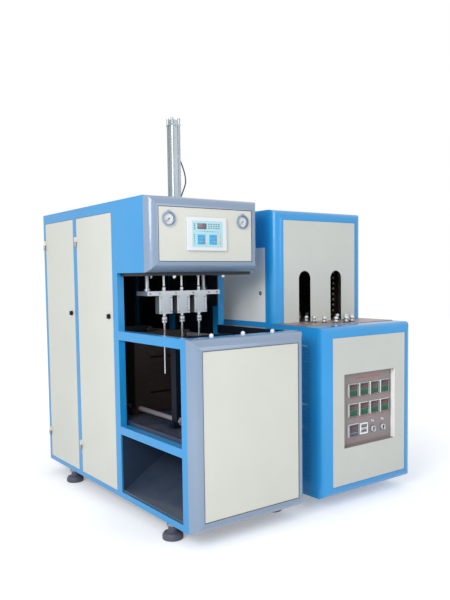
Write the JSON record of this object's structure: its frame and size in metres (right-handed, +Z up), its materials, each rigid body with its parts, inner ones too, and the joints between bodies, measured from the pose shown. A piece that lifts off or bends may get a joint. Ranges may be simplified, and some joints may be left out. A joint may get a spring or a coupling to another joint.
{
  "type": "blow moulding machine",
  "caption": "Stretch blow moulding machine in two cabinets: a blow unit with clamp, nozzles and stretch cylinder, and a preform heater with spindle track and control window.",
  "frame": {"origin": "on the floor, midway under the whole machine set", "axes": "+Z up, +X to the right along the two fronts, +Y from the fronts to the backs"},
  "size_m": [1.692, 1.867, 2.275],
  "materials": {
    "frame_blue": "gloss powder coat",
    "heater_blue": "gloss powder coat",
    "bezel_grey": "gloss",
    "panel_beige": "satin powder coat",
    "black_plastic": "matte",
    "white_plastic": "satin",
    "keypad_film": "satin",
    "dial_white": "matte",
    "clear_lens": "clear",
    "needle_black": "matte",
    "bright_steel": "ground",
    "zinc_steel": "zinc plated",
    "dark_paint": "satin",
    "grey_blue_paint": "satin",
    "worn_iron": "machined, rusty",
    "platen_navy": "satin",
    "chute_steel": "matte",
    "alloy": "anodised",
    "hose_blue": "smooth",
    "foot_rubber": "matte",
    "valve_grey": "matte",
    "control_steel": "satin",
    "meter_white": "satin",
    "track_steel": "worn",
    "spindle_alloy": "anodised",
    "lamp_quartz": "frosted",
    "reflector_steel": "polished"
  },
  "bodies": {
    "machine": {"rear_frame": "frame_blue", "front_frame": "frame_blue", "head_shell": "frame_blue", "head_bezel": "bezel_grey", "head_panel": "panel_beige", "pressure_gauges": "bezel_grey", "gauge_dials": "dial_white", "gauge_lenses": "clear_lens", "controller_housing": "white_plastic", "controller_face": "keypad_film", "front_bezel": "bezel_grey", "front_panel": "panel_beige", "top_knobs": "white_plastic", "right_panels": "panel_beige", "rear_panel": "panel_beige", "top_cover": "frame_blue", "door_hinges": "zinc_steel", "bottle_chute": "chute_steel", "clamp_base": "grey_blue_paint", "head_plates": "zinc_steel", "seal_cylinders": "alloy", "crosshead_guides": "bright_steel", "stretch_cylinder": "alloy", "cylinder_caps": "alloy", "air_hose": "hose_blue", "levelling_feet": "foot_rubber", "valve_bank": "valve_grey", "heater_shell": "heater_blue", "heater_front_panels": "panel_beige", "heater_side_panels": "panel_beige", "control_plate": "control_steel", "panel_meters": "meter_white", "pilot_lamps": "white_plastic", "track_plate": "track_steel", "spindle_chain": "spindle_alloy", "heat_lamps": "lamp_quartz", "lamp_reflectors": "reflector_steel"},
    "front_door": {"side_door_front": "panel_beige"},
    "rear_door": {"side_door_rear": "panel_beige"},
    "front_latch": {"door_latch_front": "black_plastic"},
    "rear_latch": {"door_latch_rear": "black_plastic"},
    "left_needle": {"gauge_needle_left": "needle_black"},
    "right_needle": {"gauge_needle_right": "needle_black"},
    "rear_platen": {"moving_platen": "worn_iron", "clamp_piston": "bright_steel"},
    "clamp_frame": {"front_platen": "platen_navy", "tie_rods": "bright_steel", "tail_plate": "dark_paint", "clamp_cylinder": "zinc_steel"},
    "pinion": {"sync_pinion": "zinc_steel"},
    "nozzle_unit": {"nozzle_beam": "bright_steel", "nozzle_block": "alloy", "blow_nozzles": "bright_steel"},
    "stretch_unit": {"crosshead": "dark_paint", "stretch_rods": "bright_steel", "stretch_piston": "bright_steel"},
    "left_switch": {"heater_switch_left": "white_plastic"},
    "right_switch": {"heater_switch_right": "white_plastic"},
    "front_sprocket": {"sprocket_front": "zinc_steel"},
    "rear_sprocket": {"sprocket_rear": "zinc_steel"}
  },
  "joints": [
    {"name": "front_door_hinge", "type": "hinge", "parent": "machine", "child": "front_door", "pos_m": [-0.828, 0.3675, 0.919], "axis": [0, 0, -1], "range_deg": [0, 95]},
    {"name": "rear_door_hinge", "type": "hinge", "parent": "machine", "child": "rear_door", "pos_m": [-0.828, 0.8775, 0.919], "axis": [0, 0, -1], "range_deg": [0, 95]},
    {"name": "front_latch_turn", "type": "hinge", "parent": "front_door", "child": "front_latch", "pos_m": [-0.821, -0.0705, 1.13], "axis": [1, 0, 0], "range_deg": [0, 90]},
    {"name": "rear_latch_turn", "type": "hinge", "parent": "rear_door", "child": "rear_latch", "pos_m": [-0.821, 0.4605, 1.13], "axis": [1, 0, 0], "range_deg": [0, 90]},
    {"name": "left_gauge_turn", "type": "hinge", "parent": "machine", "child": "left_needle", "pos_m": [-0.697, -0.5435, 1.661], "axis": [0, 1, 0], "range_deg": [0, 270]},
    {"name": "right_gauge_turn", "type": "hinge", "parent": "machine", "child": "right_needle", "pos_m": [-0.205, -0.5435, 1.661], "axis": [0, 1, 0], "range_deg": [0, 270]},
    {"name": "clamp_close", "type": "slide", "parent": "machine", "child": "rear_platen", "axis": [0, -1, 0], "range_m": [0, 0.08796]},
    {"name": "clamp_frame_slide", "type": "slide", "parent": "machine", "child": "clamp_frame", "axis": [0, 1, 0], "range_m": [0, 0.08796]},
    {"name": "pinion_spin", "type": "hinge", "parent": "machine", "child": "pinion", "pos_m": [-0.451, 0.2875, 0.553], "axis": [0, 0, 1], "range_deg": [0, 126]},
    {"name": "nozzle_slide", "type": "slide", "parent": "machine", "child": "nozzle_unit", "axis": [0, 0, -1], "range_m": [0, 0.042]},
    {"name": "stretch_slide", "type": "slide", "parent": "machine", "child": "stretch_unit", "axis": [0, 0, 1], "range_m": [0, 0.29]},
    {"name": "left_switch_turn", "type": "hinge", "parent": "machine", "child": "left_switch", "pos_m": [0.517, -0.8815, 0.42], "axis": [0, 1, 0], "range_deg": [0, 90]},
    {"name": "right_switch_turn", "type": "hinge", "parent": "machine", "child": "right_switch", "pos_m": [0.605, -0.8815, 0.42], "axis": [0, 1, 0], "range_deg": [0, 90]},
    {"name": "front_sprocket_spin", "type": "hinge", "parent": "machine", "child": "front_sprocket", "pos_m": [0.46, -0.5765, 1.029], "axis": [0, 0, 1], "continuous": true},
    {"name": "rear_sprocket_spin", "type": "hinge", "parent": "machine", "child": "rear_sprocket", "pos_m": [0.46, 0.28071, 1.029], "axis": [0, 0, 1], "continuous": true}
  ],
  "couplings": [
    {"joint": "clamp_frame_slide", "follows": "clamp_close", "ratio": 1},
    {"joint": "pinion_spin", "follows": "clamp_close", "rad_per_m": 25},
    {"joint": "rear_sprocket_spin", "follows": "front_sprocket_spin", "ratio": 1}
  ]
}
